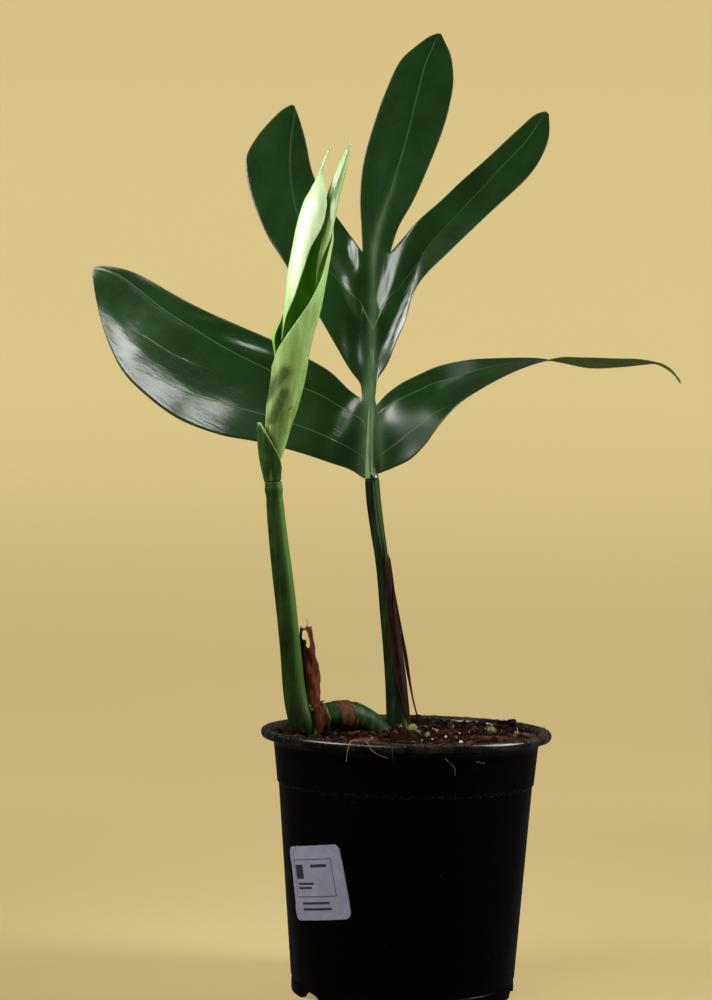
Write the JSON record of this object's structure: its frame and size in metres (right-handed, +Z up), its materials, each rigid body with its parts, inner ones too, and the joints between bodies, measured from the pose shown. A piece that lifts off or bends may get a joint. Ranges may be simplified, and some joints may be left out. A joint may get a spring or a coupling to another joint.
{
  "type": "potted rhaphidophora decursiva",
  "caption": "Young climbing aroid in a round black nursery pot: a lobed grown leaf and a rolled new leaf on a creeping green stem.",
  "frame": {"origin": "middle of the pot's underside, on the surface it stands on", "axes": "+Z up; the plant's front, as pictured, faces -Y; +X to the viewer's right"},
  "size_m": [0.3594, 0.17, 0.5771],
  "materials": {
    "pot_plastic": "fine satin, dusty rim",
    "label_paper": "smooth matt",
    "soil": "rough crumbly bark and peat",
    "stem_green": "smooth living skin, satin",
    "leaf_dark": "glossy living leaf",
    "leaf_new": "glossy young leaf",
    "dry_sheath": "dry papery"
  },
  "bodies": {
    "root": {"pot": "pot_plastic", "pot_label": "label_paper", "potting_soil": "soil", "rhizome": "stem_green", "rhizome_dry_band": "dry_sheath", "dry_cataphyll": "dry_sheath", "new_petiole": "stem_green", "new_leaf_sheath": "stem_green", "furled_leaf": "leaf_new", "mature_petiole": "stem_green", "dry_petiole_sheath": "dry_sheath", "mature_leaf": "leaf_dark"}
  },
  "joints": []
}
